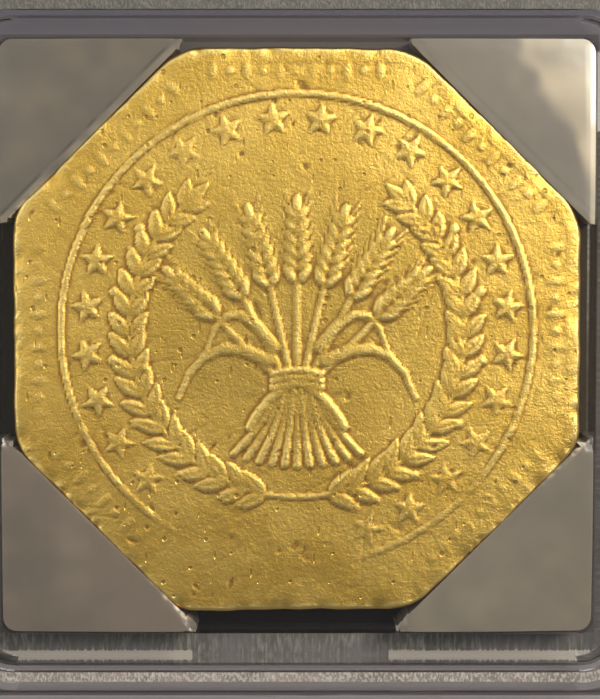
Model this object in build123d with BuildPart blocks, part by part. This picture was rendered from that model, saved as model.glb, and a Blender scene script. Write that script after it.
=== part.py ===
"""Graded coin slab: a clear two-part holder that is welded shut round an eight-sided gold coin.

Millimetres. The slab lies on its back: +Z is out of the face, +Y runs up to the label end, +X to the right.
The origin is on the resting face, at the middle of the outline.
"""

import os
from math import cos, radians, sin, sqrt

from build123d import *

# Coin
coin_sides = 8
coin_across = 41.0
coin_thickness = 3.8
coin_corner_radii = (4.6, 5.0, 4.2, 3.6, 4.0, 2.8, 4.6, 3.0)
coin_edge_round = 0.4
border_width = 1.1
field_depth = 0.25
ring_radius = 17.2
ring_width = 0.5
ring_height = 0.14
ring_taper = 45.0

# Coin well: its collar on the front shell, and the wall that the back shell stands round the collar
coin_side_gap = 0.97
coin_rise = 0.5
well_corner_radius = 1.0
collar_thickness = 1.75
collar_lead_in = 0.2
wall_gap = 0.2
wall_thickness = 1.85
wall_drop = 0.4

# Seat under the coin and the corner pads round it
seat_thickness = 0.6
seat_lip = 0.9
seat_corner_radius = 1.5
seat_clearance = 0.1
coin_headroom = 0.2
pad_headroom = 0.25
pad_clearance = 0.06
pad_tip_cut = 0.4
pad_bevel_width = 0.5
pad_bevel_drop = 0.15
pad_edge_round = 0.12

# Outer body
side_margin = 8.53
bottom_margin = 8.46
slab_corner_radius = 3.2
plate_thickness = 1.6
skirt_thickness = 2.4
edge_round = 0.35

# Stacking: the rim of one slab enters the rebate of the next
rim_width = 2.0
rim_height = 0.7
stack_clearance = 0.15

# Weld tongues and the grooves that take them
tongue_width = 0.75
tongue_height = 0.5
tongue_taper = 8.0
tongue_inset = 0.4
weld_clearance = 0.05
weld_melt = 0.15

# Label compartment
card_height = 21.4
card_thickness = 0.4
card_clearance = 0.25
card_corner_radius = 0.6
label_well_gap = 0.9
label_skirt_gap = 0.6
label_wall_thickness = 1.2
label_wall_depth = 2.4
tray_inset = 0.8
tray_wall_thickness = 1.0

# Turn between the coin's sides, and from +X to its first corner
side_turn = 360 / coin_sides
first_corner_turn = side_turn / 2

# Heights
back_plate_top = plate_thickness
seat_top = back_plate_top + seat_thickness
coin_top = seat_top + coin_thickness
plate_underside = coin_top + coin_headroom
face_top = plate_underside + plate_thickness
rim_top = face_top + rim_height
parting_height = (back_plate_top + plate_underside) / 2
rebate_depth = rim_height + stack_clearance
card_top = plate_underside - card_clearance
card_bottom = card_top - card_thickness

# Sizes in plan, out from the coin
well_side = coin_across + 2 * coin_side_gap
well_half = well_side / 2
collar_half = well_half + collar_thickness
wall_inner_half = collar_half + wall_gap
wall_outer_half = wall_inner_half + wall_thickness
well_tongue_half = wall_inner_half + tongue_inset + tongue_width / 2
label_frame_height = card_height + 2 * card_clearance
well_centre_height = bottom_margin + well_half
label_frame_bottom = well_centre_height - wall_drop + wall_outer_half + label_well_gap + label_wall_thickness
slab_width = well_side + 2 * side_margin
slab_height = (
    label_frame_bottom + label_frame_height + label_wall_thickness + label_skirt_gap + skirt_thickness
)
label_frame_width = slab_width - 2 * (skirt_thickness + label_skirt_gap + label_wall_thickness)
card_width = label_frame_width - 2 * card_clearance

# Places in plan, from the middle of the slab
well_y = well_centre_height - slab_height / 2
coin_y = well_y + coin_rise
wall_y = well_y - wall_drop
label_y = label_frame_bottom + label_frame_height / 2 - slab_height / 2


def rounded_frame(width, height, radius, thickness, centre_y=0.0):
    """Draws a frame of even thickness outside a rounded opening of the given size."""
    with Locations((0, centre_y)):
        RectangleRounded(width + 2 * thickness, height + 2 * thickness, radius + thickness)
        RectangleRounded(width, height, radius, mode=Mode.SUBTRACT)


def wall_frame(inner_half, thickness):
    """Draws a square frame round the coin well, with corners that run parallel to the well's own."""
    radius = well_corner_radius + inner_half - well_half
    rounded_frame(2 * inner_half, 2 * inner_half, radius, thickness, wall_y)


def skirt_seam(width):
    """Draws the band along the middle of the skirt that the outer tongue or its groove takes."""
    inset = (skirt_thickness + width) / 2
    rounded_frame(
        slab_width - 2 * inset,
        slab_height - 2 * inset,
        slab_corner_radius - inset,
        width,
    )


def well_seam(width):
    """Draws the band on top of the well's wall that the inner tongue or its groove takes."""
    wall_frame(well_tongue_half - width / 2, width)


def coin_octagon(inset):
    """Draws the coin's eight-sided outline, moved in by the inset."""
    RegularPolygon(coin_across / 2 - inset, coin_sides, major_radius=False, rotation=first_corner_turn)


# Front shell: face plate, stacking rim, skirt, collar round the coin and frame round the label
with BuildPart() as front_shell:
    with BuildSketch(Plane.XY.offset(parting_height)):
        RectangleRounded(slab_width, slab_height, slab_corner_radius)
    extrude(amount=rim_top - parting_height)
    with BuildSketch(Plane.XY.offset(face_top)):
        RectangleRounded(
            slab_width - 2 * rim_width,
            slab_height - 2 * rim_width,
            slab_corner_radius - rim_width,
        )
    extrude(amount=rim_height, mode=Mode.SUBTRACT)
    fillet(front_shell.edges().group_by(Axis.Z)[-1], edge_round)
    with BuildSketch(Plane.XY.offset(parting_height)):
        RectangleRounded(
            slab_width - 2 * skirt_thickness,
            slab_height - 2 * skirt_thickness,
            slab_corner_radius - skirt_thickness,
        )
    extrude(amount=plate_underside - parting_height, mode=Mode.SUBTRACT)
    with BuildSketch(Plane.XY.offset(seat_top)):
        with Locations((0, wall_y)):
            RectangleRounded(2 * collar_half, 2 * collar_half, well_corner_radius + collar_thickness)
        with Locations((0, well_y)):
            RectangleRounded(well_side, well_side, well_corner_radius, mode=Mode.SUBTRACT)
    extrude(amount=plate_underside - seat_top)
    collar_foot = front_shell.faces().sort_by(Axis.Z)[0]
    chamfer(collar_foot.inner_wires()[0].edges(), collar_lead_in)
    with BuildSketch(Plane.XY.offset(plate_underside - label_wall_depth)):
        rounded_frame(
            label_frame_width,
            label_frame_height,
            card_corner_radius + card_clearance,
            label_wall_thickness,
            label_y,
        )
    extrude(amount=label_wall_depth)
    with BuildSketch(Plane.XY.offset(parting_height)):
        skirt_seam(tongue_width + 2 * weld_clearance)
    extrude(amount=tongue_height + weld_melt, mode=Mode.SUBTRACT)
    with BuildSketch(Plane.XY.offset(plate_underside)):
        well_seam(tongue_width + 2 * weld_clearance)
    extrude(amount=tongue_height + weld_melt, mode=Mode.SUBTRACT)

# Back shell: back plate with its stacking rebate, skirt, wall round the coin and tray behind the label
with BuildPart() as back_shell:
    with BuildSketch():
        RectangleRounded(
            slab_width - 2 * (rim_width + stack_clearance),
            slab_height - 2 * (rim_width + stack_clearance),
            slab_corner_radius - rim_width - stack_clearance,
        )
    extrude(amount=rebate_depth)
    chamfer(back_shell.edges().group_by(Axis.Z)[0], edge_round)
    with BuildSketch(Plane.XY.offset(rebate_depth)):
        RectangleRounded(slab_width, slab_height, slab_corner_radius)
    extrude(amount=parting_height - rebate_depth)
    with BuildSketch(Plane.XY.offset(back_plate_top)):
        RectangleRounded(
            slab_width - 2 * skirt_thickness,
            slab_height - 2 * skirt_thickness,
            slab_corner_radius - skirt_thickness,
        )
    extrude(amount=parting_height - back_plate_top, mode=Mode.SUBTRACT)
    with BuildSketch(Plane.XY.offset(back_plate_top)):
        wall_frame(wall_inner_half, wall_thickness)
    extrude(amount=plate_underside - back_plate_top)
    with BuildSketch(Plane.XY.offset(back_plate_top)):
        rounded_frame(
            card_width - 2 * (tray_inset + tray_wall_thickness),
            card_height - 2 * (tray_inset + tray_wall_thickness),
            card_corner_radius,
            tray_wall_thickness,
            label_y,
        )
    extrude(amount=card_bottom - back_plate_top)
    with BuildSketch(Plane.XY.offset(parting_height)):
        skirt_seam(tongue_width)
    extrude(amount=tongue_height, taper=tongue_taper)
    with BuildSketch(Plane.XY.offset(plate_underside)):
        well_seam(tongue_width)
    extrude(amount=tongue_height, taper=tongue_taper)

# Seat: flat dark frame, clamped by the collar's foot, whose eight-sided lip carries the coin
with BuildPart() as coin_seat:
    with BuildSketch(Plane.XY.offset(back_plate_top)):
        with Locations((0, wall_y)):
            RectangleRounded(
                2 * (wall_inner_half - seat_clearance),
                2 * (wall_inner_half - seat_clearance),
                well_corner_radius + wall_inner_half - well_half - seat_clearance,
            )
    extrude(amount=seat_thickness)
    with BuildSketch(Plane.XY.offset(back_plate_top)) as seat_opening:
        with Locations((0, coin_y)):
            coin_octagon(seat_lip)
        fillet(seat_opening.vertices(), seat_corner_radius)
    extrude(amount=seat_thickness, mode=Mode.SUBTRACT)

# Coin: eight-sided blank with worn corners, raised border and a raised ring on each face
coin_vertex_radius = coin_across / 2 / cos(radians(first_corner_turn))
with BuildPart() as coin:
    with BuildSketch(Plane.XY.offset(seat_top)) as coin_outline:
        with Locations((0, coin_y)):
            coin_octagon(0)
        for side, worn_radius in enumerate(coin_corner_radii):
            angle = radians(first_corner_turn + side_turn * side)
            corner = (
                coin_vertex_radius * cos(angle),
                coin_y + coin_vertex_radius * sin(angle),
                seat_top,
            )
            fillet(coin_outline.vertices().sort_by_distance(corner)[0], worn_radius)
    extrude(amount=coin_thickness)
    fillet(coin.edges().group_by(Axis.Z)[-1], coin_edge_round)
    fillet(coin.edges().group_by(Axis.Z)[0], coin_edge_round)
    for field_plane, inward in (
        (Plane.XY.offset(coin_top), -field_depth),
        (Plane.XY.offset(seat_top), field_depth),
    ):
        with BuildSketch(field_plane):
            with Locations((0, coin_y)):
                coin_octagon(border_width)
        extrude(amount=inward, mode=Mode.SUBTRACT)
    for ring_plane, outward in (
        (Plane.XY.offset(coin_top - field_depth), ring_height),
        (Plane.XY.offset(seat_top + field_depth), -ring_height),
    ):
        with BuildSketch(ring_plane):
            with Locations((0, coin_y)):
                Circle(ring_radius + ring_width / 2)
                Circle(ring_radius - ring_width / 2, mode=Mode.SUBTRACT)
        extrude(amount=outward, taper=ring_taper)

# Label card: plain paper card that lies on the tray, inside the front shell's frame
with BuildPart() as label_card:
    with BuildSketch(Plane.XY.offset(card_bottom)):
        with Locations((0, label_y)):
            RectangleRounded(card_width, card_height, card_corner_radius)
    extrude(amount=card_thickness)


def corner_pad(side_x, side_y):
    """One pad: fills the well's corner up to the coin's diagonal side, with its two thin tips cut short."""
    reach = well_half - pad_clearance
    diagonal = sqrt(2) * (coin_across / 2 + pad_clearance)
    corner_x = side_x * reach
    corner_y = well_y + side_y * reach
    tip_y = coin_y + side_y * (diagonal - reach + pad_tip_cut)
    tip_x = side_x * (diagonal - reach + side_y * coin_rise + pad_tip_cut)
    pad_top = plate_underside - pad_headroom
    with BuildPart() as pad:
        with BuildSketch(Plane.XY.offset(seat_top)) as outline:
            with BuildLine():
                Polyline(
                    (corner_x, corner_y),
                    (corner_x, tip_y),
                    (corner_x - side_x * pad_tip_cut, tip_y),
                    (tip_x, corner_y - side_y * pad_tip_cut),
                    (tip_x, corner_y),
                    close=True,
                )
            make_face()
            fillet(outline.vertices().sort_by_distance((corner_x, corner_y, seat_top))[0], well_corner_radius)
        extrude(amount=pad_top - seat_top)
        top_face = pad.faces().sort_by(Axis.Z)[-1]
        coin_edge = top_face.edges().sort_by_distance((0, coin_y, pad_top))[0]
        chamfer(coin_edge, pad_bevel_width, pad_bevel_drop, reference=top_face)
        rim_edges = pad.faces().sort_by(Axis.Z)[-1].edges().sort_by_distance((0, coin_y, pad_top))[1:]
        fillet(rim_edges, pad_edge_round)
    return pad.part


pads = {
    "pad_top_left": corner_pad(-1, 1),
    "pad_top_right": corner_pad(1, 1),
    "pad_bottom_left": corner_pad(-1, -1),
    "pad_bottom_right": corner_pad(1, -1),
}

pieces = {
    "front_shell": front_shell.part,
    "back_shell": back_shell.part,
    "coin_seat": coin_seat.part,
    "coin": coin.part,
    "label_card": label_card.part,
    **pads,
}
os.makedirs("parts", exist_ok=True)
for name, piece in pieces.items():
    piece.label = name
    export_step(piece, f"parts/{name}.step")
    print(name, round(piece.volume, 1), "mm3")
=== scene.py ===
# %% [markdown]
# # A graded coin slab
# The slab is a clear plastic holder, welded shut. A square well shows an eight-sided gold coin, wedged by
# four grey corner pads over a dark seat, and a bare card lies in the label compartment above it.
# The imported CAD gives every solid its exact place. Here each one gets its real surface, and the coin gets
# the relief and the wear that are too fine for the CAD. The first cell loads that frame.

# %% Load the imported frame
from math import atan2, cos, pi, radians, sin, sqrt, tan

import bmesh
import bpy
import numpy as np
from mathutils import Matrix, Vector


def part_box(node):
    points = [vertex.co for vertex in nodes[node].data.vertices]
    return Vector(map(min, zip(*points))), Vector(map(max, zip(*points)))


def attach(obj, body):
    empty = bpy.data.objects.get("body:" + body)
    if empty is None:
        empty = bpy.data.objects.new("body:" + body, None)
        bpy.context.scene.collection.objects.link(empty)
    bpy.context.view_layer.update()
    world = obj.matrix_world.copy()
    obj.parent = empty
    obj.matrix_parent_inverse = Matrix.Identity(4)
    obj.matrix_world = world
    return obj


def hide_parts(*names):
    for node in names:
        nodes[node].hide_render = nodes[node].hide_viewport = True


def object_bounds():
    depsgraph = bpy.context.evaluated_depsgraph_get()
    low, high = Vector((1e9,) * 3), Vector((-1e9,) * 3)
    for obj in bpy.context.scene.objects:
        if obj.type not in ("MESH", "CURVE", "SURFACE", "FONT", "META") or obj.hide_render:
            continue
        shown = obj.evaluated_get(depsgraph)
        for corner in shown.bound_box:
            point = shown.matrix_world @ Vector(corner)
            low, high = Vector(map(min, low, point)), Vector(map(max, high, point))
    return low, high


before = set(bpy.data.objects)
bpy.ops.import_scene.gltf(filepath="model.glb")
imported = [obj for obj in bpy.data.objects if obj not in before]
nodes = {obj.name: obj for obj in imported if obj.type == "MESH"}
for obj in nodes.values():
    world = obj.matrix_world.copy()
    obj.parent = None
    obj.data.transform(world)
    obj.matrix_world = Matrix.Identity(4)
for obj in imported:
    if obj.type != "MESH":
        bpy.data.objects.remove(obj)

MM = 0.001
cad_low, cad_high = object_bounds()
print("CAD box in mm:", [round(v / MM, 2) for v in (*cad_low, *cad_high)])

# %% [markdown]
# ## Camera
# A coin is pictured from straight above, so that its outline keeps its true shape. The camera hangs over
# the slab a little nearer the label end than the coin, and leans a few degrees back towards it. The frame
# is a little over 43 mm wide, and its middle lies just below the coin's middle.

# %% Put the camera over the slab
coin_low, coin_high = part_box("coin")
coin_x = (coin_low.x + coin_high.x) / 2
coin_y = (coin_low.y + coin_high.y) / 2
coin_bottom, coin_top = coin_low.z, coin_high.z
frame_width = 43.4 * MM
camera_height = 150 * MM
camera_lean = 9.0 * MM
aim_right, aim_below = 0.2 * MM, 1.38 * MM
aim = Vector((coin_x + aim_right, coin_y - aim_below, coin_top))


def add_object(name, data):
    """A new object in the scene."""
    made = bpy.data.objects.new(name, data)
    bpy.context.scene.collection.objects.link(made)
    return made


camera_data = bpy.data.cameras.new("Camera over the slab")
camera_data.sensor_fit = "HORIZONTAL"
camera_data.sensor_width = 36
camera_data.clip_start = 0.005
camera_data.clip_end = 20
camera = add_object("Camera over the slab", camera_data)
camera.location = aim + Vector((0, camera_lean, camera_height))
camera.rotation_euler = (-atan2(camera_lean, camera_height), 0, 0)
camera_data.lens = camera_data.sensor_width * (camera.location - aim).length / frame_width
bpy.context.scene.camera = camera
print("lens in mm:", round(camera_data.lens, 1))

# %% [markdown]
# ## Signals
# A material is a net of nodes, and most of them only add, multiply or compare numbers. Written node by
# node, such sums are hard to read. So what a node puts out is wrapped here as a signal, and plain
# arithmetic on signals adds the Math nodes. Every helper takes signals or plain values, and finds the tree
# from the signal it is given.

# %% Helpers that add nodes and sums of signals


class Signal:
    """What a node puts out."""

    def __init__(self, socket):
        self.socket = socket
        self.tree = socket.id_data

    def __add__(self, other):
        return math_node("ADD", self, other)

    def __sub__(self, other):
        return math_node("SUBTRACT", self, other)

    def __rsub__(self, other):
        return math_node("SUBTRACT", other, self)

    def __mul__(self, other):
        return math_node("MULTIPLY", self, other)

    def __abs__(self):
        return math_node("ABSOLUTE", self)


def feed(node, sources):
    """Feeds a node's inputs: a signal is linked, a plain value is set, and a colour gets its alpha."""
    for name, source in sources.items():
        socket = node.inputs[name]
        if isinstance(source, Signal):
            source.tree.links.new(source.socket, socket)
        elif socket.type == "RGBA":
            socket.default_value = (*source, 1)
        else:
            socket.default_value = source


def put(tree, kind, gives, sources=None, **settings):
    """Adds a node with its settings and sources. Gives back the named output, or a list of outputs."""
    node = tree.nodes.new(kind)
    for name, value in settings.items():
        setattr(node, name, value)
    feed(node, sources or {})
    if isinstance(gives, (str, int)):
        return Signal(node.outputs[gives])
    return [Signal(node.outputs[name]) for name in gives]


def math_node(operation, *sources, clamp=False):
    """A Math node on signals and plain numbers."""
    tree = next(source.tree for source in sources if isinstance(source, Signal))
    numbered = dict(enumerate(sources))
    return put(tree, "ShaderNodeMath", "Value", numbered, operation=operation, use_clamp=clamp)


def larger(first, second):
    """The larger of two numbers, which is also how two masks join."""
    return math_node("MAXIMUM", first, second)


def ramp(source, low, high):
    """Turns low to 0 and high to 1, smoothly, and holds both ends."""
    sources = {"Value": source, "From Min": low, "From Max": high}
    return put(source.tree, "ShaderNodeMapRange", "Result", sources, interpolation_type="SMOOTHSTEP")


def mix_numbers(factor, low, high):
    """A plain number that runs from low to high with the factor."""
    sources = {"Value": factor, "To Min": low, "To Max": high}
    return put(factor.tree, "ShaderNodeMapRange", "Result", sources, clamp=True)


def new_material(name):
    """A material with an empty node tree, and its tree."""
    material = bpy.data.materials.new(name)
    material.use_nodes = True
    material.node_tree.nodes.clear()
    return material, material.node_tree


def principled(tree, **sources):
    """A Principled shader, fed by socket names with _ for a space."""
    sources = {name.replace("_", " "): source for name, source in sources.items()}
    return put(tree, "ShaderNodeBsdfPrincipled", "BSDF", sources)


def surface_of(shader):
    """Makes a shader the surface of its material."""
    put(shader.tree, "ShaderNodeOutputMaterial", (), {"Surface": shader})


# %% [markdown]
# ## Floor and light
# The slab lies on a plain pale sheet. Gold shows its relief only when one side of each slope meets a lamp
# and the other side meets a darker part of the room. So a small warm key softbox stands at the upper right,
# a weaker cool one beyond the label end and a broad neutral one at the left, and the room itself stays a
# quiet grey.

# %% Lay the floor
floor_half, floor_drop = 1.5, 0.05 * MM
floor_corners = [(-floor_half, -floor_half), (floor_half, -floor_half), (floor_half, floor_half)]
floor_corners.append((-floor_half, floor_half))
floor_mesh = bpy.data.meshes.new("Floor")
floor_mesh.from_pydata([(x, y, -floor_drop) for x, y in floor_corners], [], [(0, 1, 2, 3)])
floor = add_object("Floor", floor_mesh)
floor_material, tree = new_material("Pale floor")
surface_of(principled(tree, Base_Color=(0.62, 0.61, 0.6), Roughness=0.9))
floor_mesh.materials.append(floor_material)
print("floor in m:", 2 * floor_half)

# %% Hang the lamps


def softbox(name, place, size, power, colour):
    """A square area lamp that faces the coin and is not seen itself."""
    data = bpy.data.lights.new(name, "AREA")
    data.shape = "SQUARE"
    data.size = size
    data.energy = power
    data.color = colour
    lamp = add_object(name, data)
    lamp.location = Vector(place)
    lamp.rotation_euler = (lamp.location - aim).to_track_quat("Z", "Y").to_euler()
    lamp.visible_camera = False


softbox("Key softbox", place=(0.175, 0.1, 0.285), size=0.13, power=0.94, colour=(1.0, 0.94, 0.85))
softbox("Top softbox", place=(0.03, 0.27, 0.27), size=0.18, power=0.26, colour=(0.96, 0.97, 1.0))
softbox("Side softbox", place=(-0.27, 0.04, 0.27), size=0.2, power=0.43, colour=(1.0, 0.98, 0.95))

world = bpy.data.worlds.new("Studio")
bpy.context.scene.world = world
world.use_nodes = True
feed(world.node_tree.nodes["Background"], {"Color": (0.72, 0.71, 0.7), "Strength": 0.215})
bpy.context.scene.view_settings.view_transform = "Standard"

# %% [markdown]
# ## Surface effects that several finishes share
# Fine grain, hairline scratches and broad blotches turn up on gold, plastic and card alike, and the gold
# has pock marks too. Each is a small node group with named inputs, so that a finish only says how large and
# how strong it is. A group puts out a mask or a height. The shader that uses it stays in the material.

# %% Build the shared node groups


def number_inputs(tree, numbers):
    """Gives a node group its named number inputs."""
    for label, value in numbers.items():
        socket = tree.interface.new_socket(label, in_out="INPUT", socket_type="NodeSocketFloat")
        socket.default_value = value


def new_group(name, **numbers):
    """A shader node group with a vector and named numbers going in. Gives the group and those inputs."""
    tree = bpy.data.node_groups.new(name, "ShaderNodeTree")
    tree.interface.new_socket("Vector", in_out="INPUT", socket_type="NodeSocketVector")
    number_inputs(tree, numbers)
    return tree, put(tree, "NodeGroupInput", ("Vector", *numbers))


def group_gives(tree, **signals):
    """Puts out a group's masks and heights under their names."""
    for label in signals:
        tree.interface.new_socket(label, in_out="OUTPUT", socket_type="NodeSocketFloat")
    put(tree, "NodeGroupOutput", (), signals)


def noise(vector, scale, detail=2.0, roughness=0.5):
    """A noise texture on a vector."""
    sources = {"Vector": vector, "Scale": scale, "Detail": detail, "Roughness": roughness}
    return put(vector.tree, "ShaderNodeTexNoise", "Fac", sources)


def stretched(vector, scale, turn=0.0):
    """The same places turned about the upright axis and stretched, for a pattern that runs one way."""
    sources = {"Vector": vector, "Rotation": (0, 0, turn), "Scale": scale}
    return put(vector.tree, "ShaderNodeMapping", "Vector", sources)


grain_group, (vector, scale) = new_group("Fine grain", Scale=3000.0)
coarse = noise(vector, scale, 3.0, 0.6)
group_gives(grain_group, Height=coarse, Speckle=ramp(coarse, 0.56, 0.72))

blotch_group, (vector, scale) = new_group("Broad blotches", Scale=120.0)
group_gives(blotch_group, Mask=ramp(noise(vector, scale, 4.0, 0.55), 0.35, 0.65))

scratch_group, (vector, scale, share) = new_group("Hairline scratches", Scale=300.0, Share=0.5)
lines = None
for turn, stretch in ((0.35, 26.0), (1.25, 34.0), (2.35, 30.0)):
    line = ramp(noise(stretched(vector, (1.0, stretch, 1.0), turn), scale, 1.0, 0.4), 0.69, 0.76)
    lines = line if lines is None else larger(lines, line)
patches = ramp(noise(vector, 90.0, 1.0), 0.42, 0.6)
lines = math_node("MULTIPLY", lines * patches, share, clamp=True)
group_gives(scratch_group, Mask=lines, Height=1.0 - lines)

pock_group, (vector, scale, share) = new_group("Pock marks", Scale=900.0, Share=0.15)
sources = {"Vector": vector, "Scale": scale}
off_cell, cell_colour = put(
    pock_group, "ShaderNodeTexVoronoi", ("Distance", "Color"), sources, voronoi_dimensions="2D"
)
chance, pick = put(pock_group, "ShaderNodeSeparateColor", ("Red", "Green"), {"Color": cell_colour})
bite = math_node("MULTIPLY", chance * 0.16 + 0.05 - off_cell, 14.0, clamp=True)
marked = bite * math_node("GREATER_THAN", share, pick)
group_gives(pock_group, Mask=marked, Height=1.0 - marked)
print("shared groups:", [g.name for g in bpy.data.node_groups])

# %% Helpers that place a group, lay coats of colour and bump a surface


def object_vector(tree):
    """Object coordinates, in metres: every piece's own place in the slab."""
    return put(tree, "ShaderNodeTexCoord", "Object")


def split(vector):
    """A vector's three numbers."""
    return put(vector.tree, "ShaderNodeSeparateXYZ", ("X", "Y", "Z"), {"Vector": vector})


def effect(group, vector, gives, **numbers):
    """Places a shared group in the vector's tree, with its numbers set by name."""
    return put(vector.tree, "ShaderNodeGroup", gives, {"Vector": vector, **numbers}, node_tree=group)


def coats(tone, *layers):
    """Lays coats over a tone. Each coat is a mask and the colour that it brings in."""
    for mask, colour in layers:
        sources = {"Factor": mask, 6: tone, 7: colour}
        tone = put(mask.tree, "ShaderNodeMix", 2, sources, data_type="RGBA")
    return tone


def bumps(*layers):
    """Bump nodes laid over one another. Each layer is a height, its distance in mm and its strength."""
    under = {}
    for height, distance, strength in layers:
        sources = {"Height": height, "Distance": distance * MM, "Strength": strength, **under}
        under = {"Normal": put(height.tree, "ShaderNodeBump", "Normal", sources)}
    return under["Normal"]


# %% [markdown]
# ## The coin's outline
# The blank is an octagon 41 mm across its flats, and each corner has worn to its own roundness. The face
# needs a mesh that is square and even in the middle, where the relief is, and that still ends exactly on
# this outline. So a square grid is pulled inwards along the rays from the middle, more and more towards the
# edge.

# %% Measure the outline along any ray
half_across = (coin_high.x - coin_low.x) / 2 / MM
corner_radii = (4.6, 5.0, 4.2, 3.6, 4.0, 2.8, 4.6, 3.0)
worn_back = (0.03, 0.08, 0.1, 0.28, 0.12, 0.2, 0.03, 0.0, 0.0, 0.0, 0.0, 0.0, 0.16, 0.18, 0.06, 0.08)
edge_waviness = 0.018
side_turn = pi / 4
half_turn = pi / 8


def outline_reach(angle):
    """Distance in mm from the coin's middle to its worn outline, for an array of angles."""
    angle = np.mod(angle, 2 * pi)
    corner = np.floor(angle / side_turn).astype(int) % 8
    off_corner = angle - (corner + 0.5) * side_turn
    radius = np.array(corner_radii)[corner]
    flat = half_across / np.cos(half_turn - np.abs(off_corner))
    middle = (half_across - radius) / cos(half_turn)
    along = middle * np.cos(off_corner)
    inside = radius**2 - (middle**2 - along**2)
    rounded = along + np.sqrt(np.maximum(inside, 0))
    tangent = half_turn - np.arctan((half_across - radius) * tan(half_turn) / half_across)
    struck = np.where(np.abs(off_corner) < tangent, rounded, flat)
    worn = np.interp(angle / half_turn, np.arange(17), worn_back + worn_back[:1])
    uneven = edge_waviness * (2 + np.sin(29 * angle + 1.0) + np.sin(47 * angle + 2.5))
    return struck - worn - uneven


def smooth_noise(x, y, cell, seed):
    """Soft random hills between -1 and 1, about one cell across, for arrays of places in mm."""
    table = np.random.default_rng(seed).uniform(-1, 1, (64, 64))
    u, v = x / cell + 1000, y / cell + 1000
    iu, iv = np.floor(u).astype(int), np.floor(v).astype(int)
    fu, fv = u - iu, v - iv
    fu, fv = fu * fu * (3 - 2 * fu), fv * fv * (3 - 2 * fv)
    corner = lambda a, b: table[(iu + a) % 64, (iv + b) % 64]
    low = corner(0, 0) * (1 - fu) + corner(1, 0) * fu
    high = corner(0, 1) * (1 - fu) + corner(1, 1) * fu
    return low * (1 - fv) + high * fv


reaches = [round(float(outline_reach(np.array(angle))), 2) for angle in (0, half_turn, 3 * half_turn)]
print("outline reach in mm:", reaches)

# %% [markdown]
# ## The coin's relief
# Struck relief is a picture in heights, and on a coin like this it is low: flat tops about a tenth of a
# millimetre above the field, with steep flanks and a little modelling cut into the tops. Each leaf, grain,
# stem and star is a small shape laid on a flat field, and where two meet the higher one wins. The motif is
# a plain, traditional one: a tied sheaf of wheat between two laurel sprigs, with stars round it.

# %% Stamps for leaves, grains, stems and stars


def local(x, y, place, turn):
    """Coordinates along and across a stamp that stands at a place and points along a turn."""
    dx, dy = x - place[0], y - place[1]
    return dx * cos(turn) + dy * sin(turn), -dx * sin(turn) + dy * cos(turn)


def around(reach, turn, middle=(0, 0)):
    """The place at a reach and a turn from a middle."""
    return middle[0] + reach * cos(turn), middle[1] + reach * sin(turn)


def stamp(relief, shape):
    """Lays a shape on a grid of heights or depths: the larger of the two wins."""
    np.maximum(relief, shape, out=relief)


def grain_shape(x, y, place, turn, half_length, half_width, height):
    """A plump wheat grain or berry."""
    u, v = local(x, y, place, turn)
    return height * np.sqrt(np.clip(1 - (u / half_length) ** 2 - (v / half_width) ** 2, 0, 1))


def leaf_shape(x, y, place, turn, length, half_width, height):
    """A leaf from its foot to its tip, with a groove along its rib."""
    u, v = local(x, y, place, turn)
    t = np.clip(u / length, 0, 1)
    width = half_width * np.sin(pi * t**0.8) ** 0.75 + 1e-6
    inside = (u > 0) & (u < length) & (np.abs(v) < width)
    dome = np.clip(1 - (v / width) ** 2, 0, 1) ** 0.35
    groove = 0.3 * np.exp(-((v / 0.13) ** 2)) * (t < 0.85)
    return np.where(inside, height * (0.75 + 0.25 * np.sin(pi * t)) * (dome - groove * dome), 0)


def stem_shape(x, y, points, half_width, height):
    """A round stem along a line of points."""
    nearest = np.full(x.shape, 1e9)
    for (ax, ay), (bx, by) in zip(points[:-1], points[1:]):
        length2 = (bx - ax) ** 2 + (by - ay) ** 2
        t = np.clip(((x - ax) * (bx - ax) + (y - ay) * (by - ay)) / length2, 0, 1)
        nearest = np.minimum(nearest, (x - ax - t * (bx - ax)) ** 2 + (y - ay - t * (by - ay)) ** 2)
    return height * np.clip(1 - nearest / half_width**2, 0, 1) ** 0.4


def star_shape(x, y, place, turn, reach, height):
    """A five-pointed star with a faint ridge down each point."""
    u, v = local(x, y, place, turn)
    fold = np.abs(np.mod(np.arctan2(v, u) + pi / 5, 2 * pi / 5) - pi / 5)
    notch = 0.45 * reach
    edge = reach * notch * sin(pi / 5)
    edge = edge / (np.cos(fold) * notch * sin(pi / 5) - np.sin(fold) * (notch * cos(pi / 5) - reach))
    return height * np.clip(1 - np.hypot(u, v) / edge, 0, 1) ** 0.3 * (1 - 0.25 * fold)


# %% Draw the motif
waist = -3.6
sprig_radius = 12.1
star_radius = 15.25
lozenge_inset = 1.85


def curve(start, control, end, count=7):
    """Points along a bent line from start to end that leans towards its control point."""
    steps = [n / (count - 1) for n in range(count)]
    return [
        tuple((1 - t) ** 2 * a + 2 * t * (1 - t) * b + t**2 * c for a, b, c in zip(start, control, end))
        for t in steps
    ]


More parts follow.
